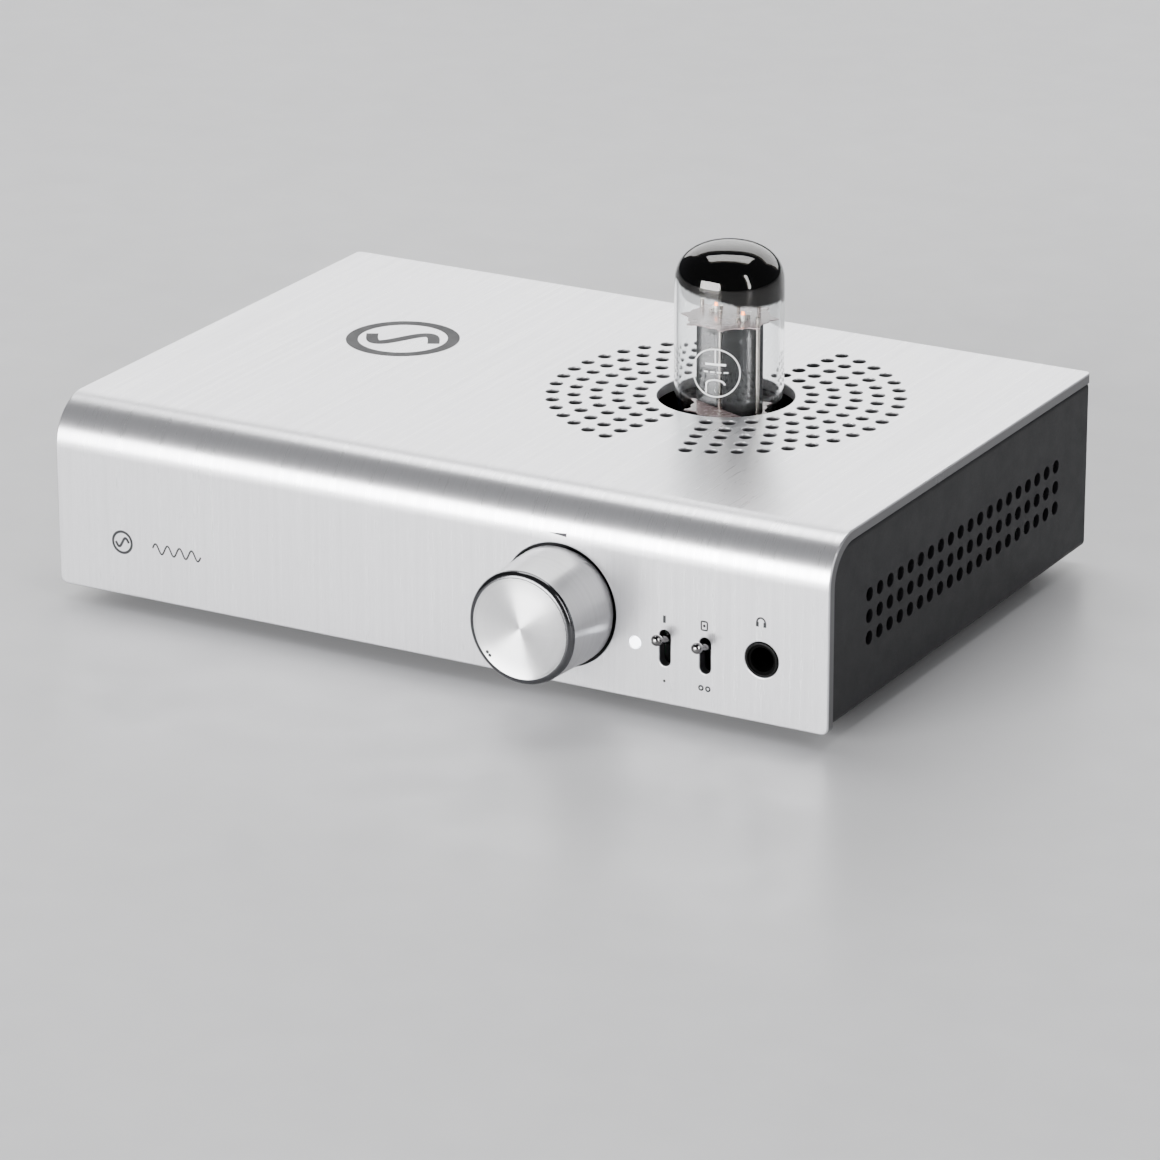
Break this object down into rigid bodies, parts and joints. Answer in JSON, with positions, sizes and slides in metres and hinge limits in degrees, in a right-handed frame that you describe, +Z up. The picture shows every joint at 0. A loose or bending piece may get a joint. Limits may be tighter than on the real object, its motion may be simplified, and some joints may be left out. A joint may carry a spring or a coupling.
{
  "type": "tube amplifier",
  "caption": "Desktop headphone amplifier: bent aluminium cover with vents round a plug-in tube, volume knob, two toggles, lamp, headphone jack, rear sockets.",
  "frame": {"origin": "on the table, under the middle of the object's overall box", "axes": "+X to the right seen from the front, +Y from the front to the rear, +Z up"},
  "size_m": [0.2286, 0.1836, 0.0965],
  "materials": {
    "brushed_cover": "vertical brushed grain, clear anodised",
    "zinc_steel": "bright zinc plating",
    "aluminium_rail": "plain milled",
    "grey_steel": "satin dark grey powder coat",
    "black_screws": "black oxide",
    "black_rubber": "matt",
    "board_green": "solder mask over glass laminate",
    "turned_knob": "turned and clear anodised",
    "steel_shaft": "turned",
    "rotor_resin": "phenolic resin with wipers",
    "pot_body": "moulded",
    "switch_black": "moulded",
    "lever_chrome": "polished",
    "lamp_lens": "clear resin, lit white",
    "jack_black": "moulded nylon",
    "contact_gold": "thin gold plating",
    "inlet_black": "moulded nylon",
    "inlet_tin": "bright tin plating",
    "fuse_glass": "clear with plated ends",
    "rocker_black": "moulded",
    "insulator_white": "moulded",
    "insulator_red": "moulded",
    "lead_sheath": "PVC sheaths in several colours",
    "core_steel": "wound strip",
    "copper_wire": "enamelled copper",
    "capacitor_sleeve": "shrunk sleeve over aluminium",
    "film_red": "potted box",
    "relay_orange": "moulded",
    "heatsink_black": "black anodised",
    "transistor_black": "epoxy on a tinned tab",
    "socket_ceramic": "glazed ceramic",
    "base_bakelite": "black phenolic",
    "tube_glass": "clear blown glass with a silver getter mirror at the top",
    "stem_glass": "pressed glass",
    "anode_nickel": "carbonised nickel",
    "cathode_nickel": "nickel sleeve with an oxide coat",
    "mica": "pearly mineral sheet",
    "rod_nickel": "drawn wire"
  },
  "bodies": {
    "case": {"cover": "brushed_cover", "cover_studs": "zinc_steel", "cover_stud_nuts": "zinc_steel", "rear_rail": "aluminium_rail", "panel_screws": "black_screws", "chassis_tray": "grey_steel", "rear_panel": "grey_steel", "feet": "black_rubber", "main_board": "board_green", "board_standoffs": "zinc_steel", "board_screws": "zinc_steel", "pot_case": "pot_body", "pot_nut": "zinc_steel", "gain_switch_body": "switch_black", "input_switch_body": "switch_black", "status_lamp": "lamp_lens", "headphone_jack": "jack_black", "jack_contacts": "contact_gold", "mains_inlet": "inlet_black", "inlet_pins": "inlet_tin", "power_switch_body": "switch_black", "phono_housings": "jack_black", "phono_shells": "contact_gold", "phono_insulators_left": "insulator_white", "phono_insulators_right": "insulator_red", "phono_contacts": "contact_gold", "card_slot_plate": "grey_steel", "mains_leads": "lead_sheath", "toroid_core": "core_steel", "toroid_winding": "copper_wire", "toroid_pads": "black_rubber", "toroid_dish": "zinc_steel", "toroid_bolt": "zinc_steel", "toroid_leads": "lead_sheath", "filter_capacitors": "capacitor_sleeve", "film_capacitors": "film_red", "relays": "relay_orange", "output_heatsink": "heatsink_black", "output_transistors": "transistor_black", "tube_socket": "socket_ceramic", "socket_contacts": "contact_gold"},
    "volume_control": {"volume_knob": "turned_knob", "knob_grub_screw": "black_screws", "pot_shaft": "steel_shaft", "pot_rotor": "rotor_resin"},
    "gain_lever": {"gain_lever": "lever_chrome"},
    "input_lever": {"input_lever": "lever_chrome"},
    "power_rocker": {"power_rocker": "rocker_black"},
    "fuse_drawer": {"fuse_drawer": "inlet_black", "fuse": "fuse_glass"},
    "tube": {"tube_base": "base_bakelite", "tube_pins": "inlet_tin", "tube_bulb": "tube_glass", "tube_stem": "stem_glass", "anode_plates": "anode_nickel", "cathodes": "cathode_nickel", "mica_spacers": "mica", "support_rods": "rod_nickel", "getter": "rod_nickel"}
  },
  "joints": [
    {"name": "volume_turn", "type": "hinge", "parent": "case", "child": "volume_control", "pos_m": [0.038, -0.07185, 0.0249], "axis": [0, 1, 0], "range_deg": [-18, 282]},
    {"name": "gain_toggle", "type": "hinge", "parent": "case", "child": "gain_lever", "pos_m": [0.0684, -0.06085, 0.0188], "axis": [1, 0, 0], "range_deg": [0, 26]},
    {"name": "input_toggle", "type": "hinge", "parent": "case", "child": "input_lever", "pos_m": [0.0798, -0.06085, 0.0188], "axis": [1, 0, 0], "range_deg": [0, 26]},
    {"name": "power_rock", "type": "hinge", "parent": "case", "child": "power_rocker", "pos_m": [-0.046, 0.07935, 0.0268], "axis": [0, 0, 1], "range_deg": [-18, 0]},
    {"name": "fuse_drawer_slide", "type": "slide", "parent": "case", "child": "fuse_drawer", "axis": [0, 1, 0], "range_m": [0, 0.02]},
    {"name": "tube_lift", "type": "slide", "parent": "case", "child": "tube", "axis": [0, 0, 1], "range_m": [0, 0.065]}
  ]
}
